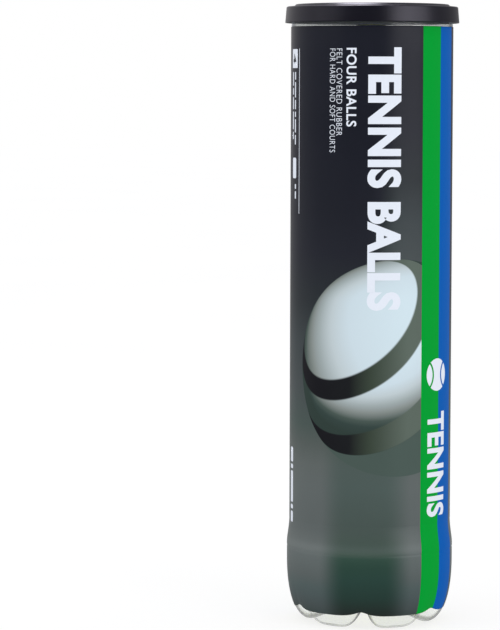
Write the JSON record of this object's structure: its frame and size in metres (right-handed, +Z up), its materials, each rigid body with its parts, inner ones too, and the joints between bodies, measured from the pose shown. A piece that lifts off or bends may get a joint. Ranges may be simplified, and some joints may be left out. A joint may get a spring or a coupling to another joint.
{
  "type": "tennis ball can",
  "caption": "Clear cylindrical can on a petal base with a printed sleeve, ring-pull metal end and press-on lid, holding a stack of felt-covered balls.",
  "frame": {"origin": "centre of the plane that the feet stand on, on the can's axis", "axes": "+Z up along the can's axis, -Y towards the printed front, +X to the right of it"},
  "size_m": [0.0798, 0.0798, 0.284],
  "materials": {
    "clear_plastic": "clear, glossy",
    "printed_film": "glossy dark print with green and blue stripes",
    "end_metal": "satin",
    "tab_metal": "satin",
    "compound": "matte",
    "lid_plastic": "satin",
    "core_rubber": "matte",
    "felt": "woolly felt",
    "seam_rubber": "matte"
  },
  "bodies": {
    "can": {"can_body": "clear_plastic", "sleeve": "printed_film", "seam_ring": "end_metal", "sealing_compound": "compound"},
    "ball_1": {"ball_1_core_a": "core_rubber", "ball_1_core_b": "core_rubber", "ball_1_felt_a": "felt", "ball_1_felt_b": "felt", "ball_1_seam": "seam_rubber"},
    "ball_2": {"ball_2_core_a": "core_rubber", "ball_2_core_b": "core_rubber", "ball_2_felt_a": "felt", "ball_2_felt_b": "felt", "ball_2_seam": "seam_rubber"},
    "ball_3": {"ball_3_core_a": "core_rubber", "ball_3_core_b": "core_rubber", "ball_3_felt_a": "felt", "ball_3_felt_b": "felt", "ball_3_seam": "seam_rubber"},
    "ball_4": {"ball_4_core_a": "core_rubber", "ball_4_core_b": "core_rubber", "ball_4_felt_a": "felt", "ball_4_felt_b": "felt", "ball_4_seam": "seam_rubber"},
    "end_panel": {"tear_panel": "end_metal", "tab_tongue": "tab_metal"},
    "tab": {"pull_tab": "tab_metal"},
    "lid": {"lid": "lid_plastic"}
  },
  "joints": [
    {"name": "ball_1_slide", "type": "slide", "parent": "can", "child": "ball_1", "axis": [0, 0, 1], "range_m": [0, 0.28]},
    {"name": "ball_2_slide", "type": "slide", "parent": "ball_1", "child": "ball_2", "axis": [0, 0, 1], "range_m": [0, 0.213]},
    {"name": "ball_3_slide", "type": "slide", "parent": "ball_2", "child": "ball_3", "axis": [0, 0, 1], "range_m": [0, 0.146]},
    {"name": "ball_4_slide", "type": "slide", "parent": "ball_3", "child": "ball_4", "axis": [0, 0, 1], "range_m": [0, 0.08]},
    {"name": "panel_pull", "type": "slide", "parent": "ball_4", "child": "end_panel", "axis": [0, 0, 1], "range_m": [0, 0.06]},
    {"name": "lid_lift", "type": "slide", "parent": "end_panel", "child": "lid", "axis": [0, 0, 1], "range_m": [0, 0.06]},
    {"name": "tab_lift", "type": "hinge", "parent": "end_panel", "child": "tab", "pos_m": [0, -0.033, 0.2773], "axis": [1, 0, 0], "range_deg": [0, 90]}
  ],
  "couplings": [
    {"joint": "tab_lift", "follows": "lid_lift", "rad_per_m": 26.17}
  ]
}
